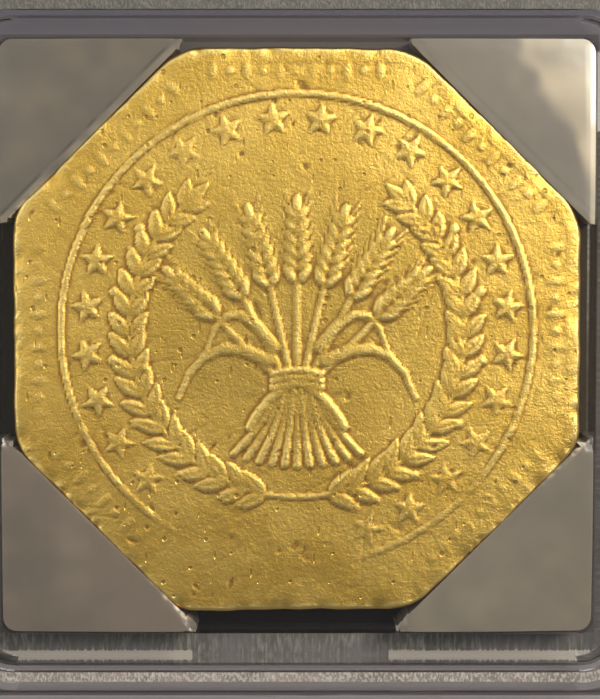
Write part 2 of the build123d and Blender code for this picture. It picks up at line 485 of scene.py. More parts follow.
def wheat_ear(relief, x, y, foot, turn, length, height):
    """An ear of wheat: two rows of grains, one at the tip, and thin awns beyond them."""
    pairs = 6
    for pair in range(pairs):
        along = length * (0.06 + 0.8 * pair / (pairs - 1))
        spread = 0.52 - 0.05 * pair
        for side in (-1, 1):
            place = (
                foot[0] + along * cos(turn) - side * spread * sin(turn),
                foot[1] + along * sin(turn) + side * spread * cos(turn),
            )
            plump = height * (1 - 0.1 * (pair % 2))
            stamp(relief, grain_shape(x, y, place, turn + side * 0.5, 0.8, 0.36, plump))
            awn_tip = around(1.9, turn + side * 0.34, place)
            stamp(relief, stem_shape(x, y, [place, awn_tip], 0.1, height * 0.35))
    stamp(relief, grain_shape(x, y, around(length, turn, foot), turn, 0.85, 0.34, height))


def draw_sheaf(relief, x, y):
    """A sheaf tied at its waist: ears fanned out over it, cut stalks under it, long blades beside it."""
    ears = 7
    for step in range(ears):
        lean = 2 * step / (ears - 1) - 1
        turn = radians(90 - 47 * lean)
        foot = (6.1 * lean, waist + 7.4 - 2.5 * lean**2)
        control = (foot[0] - 3.4 * cos(turn), foot[1] - 4.0 * sin(turn))
        stamp(relief, stem_shape(x, y, curve((1.2 * lean, waist), control, foot), 0.24, 0.11))
        wheat_ear(relief, x, y, foot, turn, 5.2 - 1.1 * lean**2, 0.26 - 0.03 * abs(lean))
    for side in (-1, 1):
        for reach, drop, wide in ((8.6, 1.3, 0.5), (6.6, -2.0, 0.42)):
            bend = (side * reach * 0.75, waist + 6.5 - drop)
            blade = curve((0, waist), bend, (side * reach, waist - drop))
            for part, (a, b) in enumerate(zip(blade[1:-1], blade[2:])):
                stamp(relief, stem_shape(x, y, [a, b], wide * (1 - part / 7), 0.15 - 0.012 * part))
    for step in range(11):
        lean = (step - 5) / 5
        end = (4.6 * lean, waist - 6.2 + 0.9 * lean**2)
        stalk = curve((1.3 * lean, waist), (1.9 * lean, waist - 2.8), end)
        stamp(relief, stem_shape(x, y, stalk, 0.27, 0.15 - 0.03 * (step % 2)))
    for rise in (waist - 0.5, waist, waist + 0.5):
        band = curve((-1.75, rise), (0, rise + 0.5), (1.75, rise))
        stamp(relief, stem_shape(x, y, band, 0.27, 0.24))
    for side in (-1, 1):
        tail = curve((0, waist), (side * 2.4, waist - 1.2), (side * 3.4, waist - 3.4))
        stamp(relief, stem_shape(x, y, tail, 0.34, 0.21))

# %% Draw the sprigs and the stars


def draw_sprigs(relief, x, y):
    """Two laurel sprigs that cross at the bottom and climb on both sides."""
    for side in (-1, 1):
        turns = [radians(-90 + side * t) for t in range(-10, 139, 7)]
        points = [around(sprig_radius, t) for t in turns]
        stamp(relief, stem_shape(x, y, points, 0.2, 0.1))
        for count, (place, t) in enumerate(zip(points[3:], turns[3:])):
            along = t + side * pi / 2
            for out in (-1, 1):
                size = (2.7 - 0.03 * count) * (1 if out > 0 else 0.92)
                spread = out * (0.6 + 0.08 * (count % 2))
                stamp(relief, leaf_shape(x, y, place, along + spread, size, 0.52, 0.17))
            if count % 3 == 1:
                berry = (place[0] * 1.115, place[1] * 1.115)
                stamp(relief, grain_shape(x, y, berry, 0, 0.36, 0.36, 0.15))
        stamp(relief, leaf_shape(x, y, points[-1], turns[-1] + side * pi / 2, 2.6, 0.5, 0.17))


def draw_stars(relief, x, y):
    """Stars between the sprigs and the ring, and small lozenges along the coin's eight sides."""
    count = 28
    for step in range(count):
        turn = 2 * pi * (step + 0.5) / count + pi / 2
        stamp(relief, star_shape(x, y, around(star_radius, turn), turn, 1.3, 0.17))
    reach = half_across - lozenge_inset
    for side in range(8):
        facing = side * side_turn
        for step in range(11):
            slide = (step - 5) * 1.2
            place = (reach * cos(facing) - slide * sin(facing), reach * sin(facing) + slide * cos(facing))
            half_length = 0.7 if step % 2 == 0 else 0.34
            stamp(relief, grain_shape(x, y, place, facing, half_length, 0.33, 0.07))


# %% [markdown]
# Wear is what makes a struck picture look like old gold. Patches fade where the thumb reaches, the tops are
# rubbed flat, knocks and scratches cut the face, and the edge picks up dents and rolls over.

# %% Helpers for wear
ring_radius, ring_half_width, ring_flank = 17.05, 0.25, 0.08
ring_height = 0.09
border_width, border_flank = 1.0, 0.12
border_height = 0.036
rubbed_from = 0.15
relief_share = 0.62
field_depth = 0.17
edge_roll = 0.17
thumb_side, thumb_from = radians(262), 13.5
struck_side = radians(30)


def blur(grid, passes):
    """Softens a square grid of heights."""
    for _ in range(passes):
        padded = np.pad(grid, 1, mode="edge")
        grid = (padded[:-2, 1:-1] + padded[2:, 1:-1] + padded[1:-1, :-2] + padded[1:-1, 2:]) / 8 + grid / 2
    return grid


def edge_distance(x, y):
    """Distance in mm from a place to the worn outline, along its ray and across its flat."""
    angle = np.arctan2(y, x)
    flats = np.max([x * cos(k * side_turn) + y * sin(k * side_turn) for k in range(8)], axis=0)
    ray = (outline_reach(angle) - np.hypot(x, y)) * cos(half_turn)
    return np.clip(np.minimum(half_across - flats, ray), 0, None)


def knocks(x, y, seed, dents, scratches):
    """Depths of small dents and long fine scratches, in mm."""
    chance = np.random.default_rng(seed)
    depth = np.zeros(x.shape)
    for _ in range(dents):
        middle = chance.uniform(-19.5, 19.5, 2)
        size = 0.16 + 0.26 * chance.uniform() ** 2
        deep = 0.02 + 0.06 * chance.uniform() ** 2
        u, v = local(x, y, middle, chance.uniform(0, pi))
        off_dent = np.hypot(u * chance.uniform(0.35, 1), v) / size
        stamp(depth, deep * np.clip(2 - 2 * off_dent, 0, 1))
    for _ in range(scratches):
        middle = chance.uniform(-18, 18, 2)
        turn = chance.normal(0.9, 0.8)
        half = 0.5 + 2.6 * chance.uniform() ** 2
        ends = [around(-half, turn, middle), around(half, turn, middle)]
        stamp(depth, stem_shape(x, y, ends, chance.uniform(0.1, 0.15), chance.uniform(0.008, 0.024)))
    return depth


def edge_dents(x, y, seed, count):
    """Knocks that the edge took when the coin fell on it, in mm."""
    chance = np.random.default_rng(seed)
    depth = np.zeros(x.shape)
    for turn in chance.uniform(-pi, pi, count):
        px, py = around(float(outline_reach(np.array(turn))), turn)
        near = np.hypot(x - px, y - py) / chance.uniform(0.25, 0.9)
        stamp(depth, chance.uniform(0.04, 0.22) * np.exp(-(near**2)))
    return depth

# %% Wear the whole face


def worn_face(x, y):
    """Heights in mm below the coin's highest point, for a grid of places."""
    relief = np.zeros(x.shape)
    draw_sheaf(relief, x, y)
    draw_sprigs(relief, x, y)
    draw_stars(relief, x, y)
    angle = np.arctan2(y, x)
    from_middle = np.hypot(x, y)

    # The thumb fades patches of the picture and the foot of the ring. What is left is rubbed down.
    thumb = 0.95 + 0.55 * smooth_noise(x, y, 6.5, 11)
    thumbed = np.clip(np.cos(angle - thumb_side) * 1.8 - 0.75, 0, 1) * (from_middle > thumb_from)
    thumb = thumb - 0.85 * thumbed
    relief = relief * np.clip(thumb, 0.12, 1.0)
    rubbed = rubbed_from + 0.45 * (relief - rubbed_from)
    relief = relief_share * np.where(relief > rubbed_from, rubbed, relief)
    ring = np.clip((ring_half_width - np.abs(from_middle - ring_radius)) / ring_flank, 0, 1)
    ring = ring * (0.8 + 0.3 * smooth_noise(x, y, 0.6, 13))
    np.maximum(relief, ring_height * np.clip(thumb, 0.08, 1.0) * ring, out=relief)
    relief = (relief + blur(relief, 1)) / 2

    # The border stands proud on the side that was struck hardest, the upper right.
    near_edge = edge_distance(x, y)
    struck_hard = np.clip(np.cos(angle - struck_side) * 1.7 - 0.35, 0, 1)
    rugged = np.clip(0.75 + 0.6 * smooth_noise(x, y, 1.9, 29), 0, 1.2)
    border = np.clip((border_width - near_edge) / border_flank, 0, 1) * np.clip(0.15 + struck_hard, 0, 1)
    surface = relief + border_height * rugged * border

    # The blank itself is uneven and grainy, and the years added knocks, scratches and a rolled edge.
    surface += 0.04 * smooth_noise(x, y, 5.5, 31) + 0.012 * smooth_noise(x, y, 2.3, 37)
    grainy = 0.6 + 0.5 * smooth_noise(x - 4, y + 5, 8.0, 41) + 0.25 * struck_hard * (from_middle > 12)
    grainy = np.clip(grainy, 0.3, 1.2)
    surface += grainy * (0.005 * smooth_noise(x, y, 0.95, 43) + 0.008 * smooth_noise(x, y, 0.4, 47))
    knocked = 0.6 * knocks(x, y, seed=53, dents=170, scratches=120)
    surface -= knocked + 0.8 * edge_dents(x, y, seed=59, count=110)
    surface = surface - field_depth
    roll = np.clip(edge_roll - near_edge, 0, edge_roll)
    surface -= edge_roll - np.sqrt(edge_roll**2 - roll**2)
    return np.minimum(surface, 0.0)


# %% [markdown]
# The grid of the face, the wall and the plain back are sewn into one closed mesh. A number on every point,
# how deep it sits below what is round it, tells the gold where dirt has stayed.

# %% Pull the grid to the outline and measure its hollows
face_count = 284
steps = np.linspace(-1, 1, face_count)
grid_u, grid_v = np.meshgrid(steps, steps, indexing="ij")
grid_angle = np.arctan2(grid_v, grid_u)
square_reach = np.maximum(np.abs(grid_u), np.abs(grid_v))
ray_ratio = outline_reach(grid_angle) / half_across
ray_ratio = ray_ratio * np.maximum(np.abs(np.cos(grid_angle)), np.abs(np.sin(grid_angle)))
pull = half_across * (1 + (ray_ratio - 1) * square_reach)
face_x, face_y = grid_u * pull, grid_v * pull
face_z = worn_face(face_x, face_y)
hollow_depth, crease_depth = 0.028, 0.011
cavity = (blur(face_z, 14) - face_z) / hollow_depth
crease = (blur(face_z, 3) - face_z) / crease_depth
cavity = np.clip(np.where(crease > 0, np.maximum(cavity, crease), cavity), -1, 1)

index = np.arange(face_count**2).reshape(face_count, face_count)
rim_index = np.concatenate([index[:-1, 0], index[-1, :-1], index[:0:-1, -1], index[0, :0:-1]])
rim_x, rim_y, rim_z = (grid.ravel()[rim_index] for grid in (face_x, face_y, face_z))
thickness = (coin_top - coin_bottom) / MM
rim_angle = np.arctan2(rim_y, rim_x)
rim_reach = np.hypot(rim_x, rim_y)


def loop_at(reach, height):
    """One closed loop of points round the coin, at a reach and a height in mm."""
    height = np.broadcast_to(height, reach.shape)
    return np.stack([reach * np.cos(rim_angle), reach * np.sin(rim_angle), height], 1)

# %% Loop the wall and the back
wall_inset, wall_from, wall_to, back_round = 0.05, 0.1, 0.7, 0.6
back_border, back_border_foot = 1.1, 1.3
back_sink = 0.22
back_ring = ((17.6, back_sink), (17.35, 0.17), (17.2, 0.12), (17.05, 0.17), (16.8, back_sink))
back_field = ((9.0, back_sink), (2.0, back_sink))
loops = [loop_at(rim_reach - wall_inset, rim_z - wall_from)]
loops.append(loop_at(rim_reach - wall_inset, -thickness + wall_to))
for turn in np.linspace(0, pi / 2, 5):
    rounded = rim_reach - wall_inset - back_round * (1 - cos(turn))
    loops.append(loop_at(rounded, -thickness + back_round * (1 - sin(turn))))
loops.append(loop_at(rim_reach - back_border, -thickness))
loops.append(loop_at(rim_reach - back_border_foot, -thickness + back_sink))
for reach, height in back_ring + back_field:
    loops.append(loop_at(np.full(rim_reach.shape, reach), -thickness + height))

# %% Make the coin's mesh
face_points = np.stack([face_x.ravel(), face_y.ravel(), face_z.ravel()], 1)
points = np.concatenate([face_points, *loops, [[0, 0, -thickness + back_sink]]])
quads = [np.stack([index[:-1, :-1], index[1:, :-1], index[1:, 1:], index[:-1, 1:]], -1).reshape(-1, 4)]
ring_size = len(rim_index)
above = rim_index
for count in range(len(loops)):
    below = len(face_points) + count * ring_size + np.arange(ring_size)
    quads.append(np.stack([above, below, np.roll(below, -1), np.roll(above, -1)], 1))
    above = below
quads = np.concatenate(quads)
middle = len(points) - 1
fan = [(int(a), middle, int(b)) for a, b in zip(above, np.roll(above, -1))]


def triangles(mesh):
    """How many triangles a mesh holds."""
    return sum(len(face.vertices) - 2 for face in mesh.polygons)


coin_mesh = bpy.data.meshes.new("Worn gold coin")
place = np.array([coin_x, coin_y, coin_top])
coin_mesh.from_pydata((points * MM + place).tolist(), [], quads.tolist() + fan)
coin_mesh.shade_smooth()
deep = coin_mesh.attributes.new("cavity", "FLOAT", "POINT")
deep.data.foreach_set("value", np.concatenate([cavity.ravel(), np.zeros(len(points) - cavity.size)]))
coin = add_object("Worn_gold_coin", coin_mesh)
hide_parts("coin")
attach(coin, "root")
print("coin triangles:", triangles(coin_mesh))

# %% [markdown]
# ## Gold
# Old gold is never one colour. High spots are rubbed pale and bright, hollows keep a brown film, and the
# whole face has a fine grain and hairline scratches. Metal takes its colour from Base Color, so the cavity
# number and several masks lay thin coats over a blotchy gold, and the same masks make the hollows a little
# duller.

# %% Make the gold
gold, tree = new_material("Worn gold")
vector = object_vector(tree)
hollow = put(tree, "ShaderNodeAttribute", "Fac", attribute_name="cavity")
dirty = ramp(hollow, 0.05, 1.05)
rubbed = ramp(hollow * -1.0, 0.15, 1.0)
# The gold is made a little darker towards the middle.
sources = {0: vector, 1: (coin_x, coin_y + 1 * MM, coin_top)}
off_middle = put(tree, "ShaderNodeVectorMath", "Value", sources, operation="DISTANCE")
darker_middle_from, darker_middle_to = 14 * MM, 5 * MM
darker_middle = ramp(off_middle, darker_middle_from, darker_middle_to)
blotches = effect(blotch_group, vector, "Mask", Scale=170.0)
grain = effect(grain_group, vector, "Height", Scale=3600.0)
sand = effect(grain_group, vector, "Height", Scale=7500.0)
pits, specks = effect(grain_group, vector, ("Height", "Speckle"), Scale=1300.0)
hairs, hair_heights = effect(scratch_group, vector, ("Mask", "Height"), Scale=260.0, Share=0.35)
pocks, pock_heights = effect(pock_group, vector, ("Mask", "Height"), Scale=950.0, Share=0.16)
slanted = stretched(vector, (1.9, 0.5, 1.0), radians(35))
nicks, nick_heights = effect(pock_group, slanted, ("Mask", "Height"), Scale=900.0, Share=0.14)
film = coats(
    (0.93, 0.618, 0.131),
    (blotches, (0.78, 0.492, 0.082)),
    (darker_middle * 0.8, (0.68, 0.45, 0.088)),
    (dirty, (0.35, 0.185, 0.036)),
    (rubbed, (0.98, 0.72, 0.22)),
    (larger(pocks, nicks) * 0.6, (0.42, 0.24, 0.05)),
)
rough = mix_numbers(dirty, 0.4, 0.55) + specks * 0.08 - hairs * 0.1
polished = mix_numbers(ramp(split(vector)[1], coin_y - 19 * MM, coin_y - 8 * MM), 0.5, 1.0)
surface = bumps(
    (sand * polished, 0.032, 1.0),
    (grain, 0.034, 0.9),
    (pock_heights, 0.04, 1.0),
    (nick_heights, 0.03, 1.0),
    (pits, 0.028, 0.8),
    (hair_heights, 0.01, 0.8),
)
surface_of(principled(tree, Metallic=1.0, Base_Color=film, Roughness=rough, Normal=surface))
coin_mesh.materials.append(gold)
print("gold nodes:", len(tree.nodes))

# %% [markdown]
# ## Clear shells
# The two halves are polished polystyrene. The front half is clear, and the back half is tinted a dark grey
# as painted shade, so that the open room round the well stays dark beside the gold. Plastic this thick bends
# light, so the shader is a full refraction one. Lamps must still reach the coin through it, and reach it
# once only, so for shadow rays and for rays that come off the coin, the pads and the card it turns into
# plain see-through. Light that is trapped inside the plastic, and so meets a face from behind, keeps the
# real refraction. Upright faces get a deeper tint, partly for the longer way that light runs along a wall
# through the plastic and partly as painted shade. Near the outline the tint is lighter, beyond the thin dark
# line where the melt ran together. In its wall beside the collar the back half gets a painted tone a little
# lighter than its tint, and above the well a dark painted shade, and the collar's own inner face gets a
# painted reflection of the dark seat. The walls round the well keep fine upright draw marks from the mould.
# A hair's breadth is taken off both shells, so that touching faces never share one plane.

# %% Measure the well
seat_low, seat_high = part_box("coin_seat")
pad_low, pad_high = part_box("pad_top_right")
pad_clearance = 0.06 * MM
pad_leg = pad_high.x - pad_low.x
seat_middle_y = (seat_low.y + seat_high.y) / 2
well_middle_y = (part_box("pad_top_left")[1].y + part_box("pad_bottom_left")[0].y) / 2
well_half = pad_high.x + pad_clearance
label_side = 20 * MM
print("well in mm:", round(2 * well_half / MM, 2))

# %% Make the clear plastic
melt_line_inset = 3.0 * MM
melt_line_in, melt_line_out = (-0.26 * MM, -0.18 * MM), (0.08 * MM, 0.2 * MM)
wall_width, wall_skin, soft = 1.05 * MM, 0.05 * MM, 0.1 * MM


def clear_plastic(name, tint, upright_tint_and_shade, thin_tint, shadow, draw_marks, painted_collar_tones):
    """Clear shell plastic: refraction for what is seen, plain see-through for what lights the inside."""
    material, tree = new_material(name)
    vector = object_vector(tree)
    x, y, _ = split(vector)
    normal, from_behind = put(tree, "ShaderNodeNewGeometry", ("Normal", "Backfacing"))
    wall = math_node("SUBTRACT", 1.0, abs(split(normal)[2]), clamp=True)

    past = larger(abs(x) - (cad_high.x - melt_line_inset), abs(y) - (cad_high.y - melt_line_inset))
    thin = ramp(past, *melt_line_out)
    melt_line = ramp(past, *melt_line_in) * (1.0 - thin)
    up = y - seat_middle_y
    reach = larger(abs(x), abs(up))
    beside = ramp(reach, seat_high.x, seat_high.x + soft) * painted_collar_tones
    beside = beside * ramp(reach, seat_high.x + wall_width + soft, seat_high.x + wall_width)
    above = beside * ramp(up, label_side, label_side + 1 * MM)
    well_reach = larger(abs(x), abs(y - well_middle_y))
    in_well = ramp(well_reach, well_half + wall_skin + soft, well_half + wall_skin)
    # Over the tint: the paler thin rim, a painted tone beside the collar, painted shade above the well, the
    # deeper upright tint that is partly painted shade, the dark melt line, and on the collar's inner face a
    # painted reflection of the dark seat.
    body = coats(
        tint,
        (thin, thin_tint),
        (beside, (0.62, 0.59, 0.6)),
        (above, (0.27, 0.27, 0.32)),
        (ramp(wall, 0.5, 0.9), upright_tint_and_shade),
        (melt_line, (0.07, 0.065, 0.068)),
        (wall * in_well, (0.03, 0.025, 0.02)),
    )

    haze = effect(blotch_group, vector, "Mask", Scale=60.0)
    hairs, hair_heights = effect(scratch_group, vector, ("Mask", "Height"), Scale=160.0, Share=0.6)
    rough = mix_numbers(haze, 0.02, 0.05) + hairs * 0.08
    marks = noise(stretched(vector, (1.0, 1.0, 0.05)), 1400.0, 3.0, 0.6) * wall
    surface = bumps((marks, draw_marks, 1.0), (hair_heights, 0.004, 0.5))
    seen = {"Base_Color": body, "Roughness": rough, "Normal": surface}
    plastic = principled(tree, Metallic=0.0, IOR=1.5, Transmission_Weight=1.0, **seen)

    kinds = ("Is Shadow Ray", "Is Diffuse Ray", "Is Glossy Ray", "Is Transmission Ray", "Transparent Depth")
    shadow_ray, diffuse, glossy, refracted, depth = put(tree, "ShaderNodeLightPath", kinds)
    trapped = math_node("SUBTRACT", from_behind, depth, clamp=True)
    bounced = glossy - refracted - trapped
    plain_ray = math_node("MAXIMUM", larger(shadow_ray, diffuse), bounced, clamp=True)
    through = put(tree, "ShaderNodeBsdfTransparent", "BSDF", {"Color": shadow})
    surface_of(put(tree, "ShaderNodeMixShader", "Shader", {"Fac": plain_ray, 1: plastic, 2: through}))
    return material

# %% Mix the two plastics
front_plastic = clear_plastic(
    "Clear front plastic",
    tint=(0.97, 0.97, 0.97),
    upright_tint_and_shade=(0.9, 0.9, 0.9),
    thin_tint=(0.97, 0.97, 0.97),
    shadow=(0.96, 0.96, 0.96),
    draw_marks=0.01,
    painted_collar_tones=0.0,
)
# The back half's grey tint is painted shade for the dark room seen through it.
back_plastic = clear_plastic(
    "Back plastic tinted with painted shade",
    tint=(0.52, 0.497, 0.5),
    upright_tint_and_shade=(0.22, 0.215, 0.235),
    thin_tint=(0.7, 0.68, 0.67),
    shadow=(0.97, 0.96, 0.97),
    draw_marks=0.03,
    painted_collar_tones=1.0,
)
print("plastics:", front_plastic.name, "and", back_plastic.name)

# %% Dress the two shells


def dress(name, material):
    """Gives a CAD node its finish."""
    node = nodes[name]
    node.data.materials.clear()
    node.data.materials.append(material)
    return node


merge_distance, shrinkage, sharp_from = 0.001 * MM, 0.004 * MM, radians(50)
for name, plastic, edge in (("front_shell", front_plastic, 0.09), ("back_shell", back_plastic, 0.17)):
    shell = dress(name, plastic)
    weld = shell.modifiers.new("Join corners", "WELD")
    weld.merge_threshold = merge_distance
    round_off = shell.modifiers.new("Moulded edges", "BEVEL")
    round_off.width = edge * MM
    round_off.segments = 2
    round_off.limit_method = "ANGLE"
    round_off.angle_limit = sharp_from
    round_off.harden_normals = True
    shrink = shell.modifiers.new("Hair's breadth", "DISPLACE")
    shrink.mid_level = 0.0
    shrink.strength = -shrinkage
print("shells dressed")

# %% [markdown]
# ## Corner pads
# The pads are cut from a soft grey translucent plastic. Each fills its corner, and a shallow slope meets
# the coin's diagonal. The two thin tips of a cut pad are never clean: some round off, some tear. A triangle
# of small triangles carries that better than a CAD face does, since every point's height follows from how
# far it is from the pad's sides.

# %% Shape a pad as a triangle of small triangles
pad_rows = 90
pad_corner_radius = 1.0
blunt_tip, torn_length = 0.4, 1.6
ridge_from_coin = 0.6
reflection_line, reflection_slope = (15.9, 20.1), (0.868, 0.497)


def smooth_step(value, low, high):
    """Runs smoothly from 0 at low to 1 at high, for an array."""
    t = np.clip((value - low) / (high - low), 0, 1)
    return t * t * (3 - 2 * t)


def pad_points(legs, torn, seed):
    """Points of a right-angled triangle along its two legs, in mm, with one round corner and torn tips."""
    chance = np.random.default_rng(seed)
    places = []
    blunt = legs - blunt_tip
    for i in range(pad_rows + 1):
        for j in range(pad_rows + 1 - i):
            u, v = legs * i / pad_rows, legs * j / pad_rows
            on_edge = i == 0 or j == 0 or i + j == pad_rows
            near_tip = max(u, v) - (legs - torn_length)
            if near_tip > 0:
                wander = torn * min(near_tip, 1.0) * (1.0 if on_edge else 0.3)
                u += chance.normal(0, 0.35) * wander
                v += chance.normal(0, 0.35) * wander
            u, v = (max(min(w, blunt + 0.2 * (w - blunt)), 0) for w in (u, v))
            off_u, off_v = pad_corner_radius - u, pad_corner_radius - v
            if off_u > 0 and off_v > 0 and off_u**2 + off_v**2 > pad_corner_radius**2:
                out = sqrt(off_u**2 + off_v**2) / pad_corner_radius
                u, v = pad_corner_radius - off_u / out, pad_corner_radius - off_v / out
            places.append((u, v))
    return np.array(places)


def pad_faces(flip):
    """Faces of a closed pad, whose lower points repeat its upper ones: small triangles, walls and a base."""
    start = np.cumsum([0] + [pad_rows + 1 - i for i in range(pad_rows)]).tolist()
    faces = []
    for i in range(pad_rows):
        for j in range(pad_rows - i):
            a, b, c = start[i] + j, start[i + 1] + j, start[i] + j + 1
            faces.append((a, b, c))
            if j < pad_rows - i - 1:
                faces.append((b, start[i + 1] + j + 1, c))
    loop = start[: pad_rows + 1]
    loop += [start[i] + pad_rows - i for i in range(pad_rows - 1, -1, -1)]
    loop += list(range(pad_rows - 1, 0, -1))
    count = (pad_rows + 1) * (pad_rows + 2) // 2
    faces += [(b, b + count, a + count, a) for a, b in zip(loop, loop[1:] + loop[:1])]
    faces.append(tuple(a + count for a in reversed(loop)))
    return [tuple(reversed(face)) if flip else face for face in faces]

# %% Say where a pad is pale


def pad_paleness_and_painted_light(x, y, to_coin, tip, looks, seed):
    """How pale each place is, from the coin's middle: random tone, torn whitening, painted light and shade.
    """
    wobble = smooth_noise(x, y, 1.3, seed + 5)
    haze = 0.05 * smooth_noise(x, y, 3.2, seed + 8) + 0.04 * wobble
    # Along the lip beside the coin a pale band is painted light, and the dark line in the groove beyond it
    # is painted shade.
    haze += 0.17 * looks["ridge"] * smooth_step(0.52 - to_coin, 0, 0.12) * (0.6 + 0.6 * wobble)
    dark_line = np.exp(-(((to_coin - ridge_from_coin) / 0.07) ** 2))
    haze -= 0.6 * looks["ridge"] * dark_line * smooth_step(wobble, -0.6, 0.2)
    # At the torn tips the fibres are paled, partly as torn whitening and partly as a painted highlight.
    fibres = smooth_step(smooth_noise(x, y, 0.3, seed + 6), -0.2, 0.5)
    haze += looks["torn"] * 2.4 * tip * smooth_step(0.3 - to_coin, 0, 0.2) * fibres
    # The top right pad gets a warm pale patch that is a painted reflection of the key softbox, and a painted
    # highlight streak along its right edge.
    if looks["painted_reflection"]:
        past = reflection_slope[0] * (x - reflection_line[0]) + reflection_slope[1] * (y - reflection_line[1]) + 0.45 * wobble
        uneven = 0.75 + 0.35 * smooth_noise(x, y, 2.2, seed + 7)
        haze += looks["painted_reflection"] * smooth_step(past, -0.5, 1.0) * uneven
        haze += smooth_step(x, 21.0, 21.15) * (0.5 + 1.2 * smooth_step(y, 14.3, 15.2))
    return haze

# %% Set a pad in its CAD place


def face_outwards(mesh, smooth_to, merge=0.0):
    """Drops loose points, joins near ones, turns all faces outwards and smooths the shallow edges."""
    work = bmesh.new()
    work.from_mesh(mesh)
    bmesh.ops.delete(work, geom=[point for point in work.verts if not point.link_faces], context="VERTS")
    if merge:
        bmesh.ops.remove_doubles(work, verts=work.verts, dist=merge)
    bmesh.ops.recalc_face_normals(work, faces=work.faces)
    work.to_mesh(mesh)
    work.free()
    mesh.shade_smooth()
    mesh.set_sharp_from_angle(angle=radians(smooth_to))


def pad_mesh(name, side_x, side_y, looks, seed):
    """A closed pad in its CAD node's place, with a ridge beside the coin and a sag towards its corner."""
    torn = looks["torn"]
    low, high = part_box(name)
    corner = np.array([(high.x if side_x > 0 else low.x) / MM, (high.y if side_y > 0 else low.y) / MM])
    legs = (high.x - low.x) / MM + looks["squeezed"]
    u, v = pad_points(legs, torn, seed).T
    top, bottom = high.z / MM, low.z / MM
    to_coin = (legs - u - v) / sqrt(2)
    to_wall = np.minimum(u, v)
    flip = side_x * side_y < 0
    to_tip = np.clip((v if flip else u) / legs * 5 - 3.6, 0, 1)
    drop = (0.1 * to_tip + 0.01) * np.clip(1 - to_coin / 0.5, 0, 1)
    drop += 0.05 * looks["ridge"] * np.exp(-(((to_coin - ridge_from_coin) / 0.12) ** 2))
    drop += looks["pillow"] * (np.clip(to_coin - 2.2, 0, None) / 6.5) ** 2
    drop += 0.02 * np.clip(1 - to_coin / 0.1, 0, 1) ** 2
    drop += looks["edge"] * np.where(v < u, 0.4, 1.0) * np.clip(1 - to_wall / 0.7, 0, 1)
    drop += 0.012 * (1 + smooth_noise(u, v, 2.7, seed)) + 0.006 * smooth_noise(u, v, 0.8, seed + 1)
    torn_tip = np.clip(np.maximum(u, v) - legs + 1.4, 0, 1.4)
    drop += torn * 0.35 * torn_tip * (1 + smooth_noise(u, v, 0.35, seed + 2))
    upper = np.stack([corner[0] - side_x * u, corner[1] - side_y * v, top - drop], 1)
    lower = upper.copy()
    lower[:, 2] = bottom
    mesh = bpy.data.meshes.new("Corner " + name)
    mesh.from_pydata((np.concatenate([upper, lower]) * MM).tolist(), [], pad_faces(flip))
    haze = pad_paleness_and_painted_light(upper[:, 0] - coin_x / MM, upper[:, 1] - coin_y / MM, to_coin, to_tip, looks, seed)
    pale = mesh.attributes.new("haze", "FLOAT", "POINT")
    pale.data.foreach_set("value", np.concatenate([haze, haze * 0]))
    face_outwards(mesh, smooth_to=50)
    return mesh


# %% Make the pad plastic


def pad_plastic(name, colour, deeper):
    """Satin grey plastic with a cloudy body that lets a little light wander in."""
    material, tree = new_material(name)
    vector = object_vector(tree)
    clouds = effect(blotch_group, vector, "Mask", Scale=110.0)
    grain, specks = effect(grain_group, vector, ("Height", "Speckle"), Scale=2200.0)
    hairs, hair_heights = effect(scratch_group, vector, ("Mask", "Height"), Scale=220.0, Share=0.5)
    haze = put(tree, "ShaderNodeAttribute", "Fac", attribute_name="haze")
    # The haze number lays on random tone and torn whitening, and the painted light: warm pale for painted
    # light and the painted reflection, white above 1 for painted highlights, dark below 0 for painted shade.
    tone = coats(
        colour,
        (clouds, deeper),
        (specks * 0.3, deeper),
        (math_node("MULTIPLY", haze, 1.0, clamp=True), (0.84, 0.71, 0.48)),
        (math_node("SUBTRACT", haze, 1.0, clamp=True), (0.95, 0.94, 0.9)),
        (math_node("MULTIPLY", haze, -1.0, clamp=True), (0.035, 0.031, 0.024)),
    )
    shader = principled(
        tree,
        Metallic=0.0,
        IOR=1.45,
        Coat_Weight=0.8,
        Coat_Roughness=0.24,
        Subsurface_Weight=0.5,
        Subsurface_Scale=1.2 * MM,
        Subsurface_Radius=(1.0, 0.95, 0.85),
        Base_Color=tone,
        Roughness=mix_numbers(clouds, 0.3, 0.42) + hairs * 0.12,
        Normal=bumps((clouds, 0.05, 0.4), (grain, 0.004, 0.5), (hair_heights, 0.004, 0.6)),
    )
    surface_of(shader)
    return material


# %% Place the four pads
# Each pad is the same grey plastic, given its own lighter or darker colours as painted light; the top right
# one, nearest the key softbox, is the lightest.
pad_places_and_painted_tones = {
    "pad_top_left": (-1, 1, 61, (0.205, 0.178, 0.137), (0.172, 0.149, 0.115)),
    "pad_top_right": (1, 1, 67, (0.3, 0.266, 0.21), (0.255, 0.225, 0.178)),
    "pad_bottom_left": (-1, -1, 71, (0.232, 0.19, 0.145), (0.184, 0.153, 0.118)),
    "pad_bottom_right": (1, -1, 73, (0.268, 0.232, 0.177), (0.22, 0.192, 0.146)),
}
pad_looks = {
    "torn": (0.15, 0.05, 0.55, 0.6),
    "ridge": (1.0, 0.2, 0.0, 0.0),
    "pillow": (0.3, 0.3, 0.25, 0.4),
    "edge": (0.03, 0.07, 0.03, 0.03),
    "painted_reflection": (0.0, 0.6, 0.0, 0.0),
    "squeezed": (0.66, 0.74, 0.6, 0.7),
}
for count, (name, (side_x, side_y, seed, colour, deeper)) in enumerate(pad_places_and_painted_tones.items()):
    looks = {look: values[count] for look, values in pad_looks.items()}
    mesh = pad_mesh(name, side_x, side_y, looks, seed)
    mesh.materials.append(pad_plastic("Grey plastic " + name, colour, deeper))
    pad = add_object("Grey_" + name, mesh)
    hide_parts(name)
    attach(pad, "root")
    print(name, "triangles:", triangles(mesh))
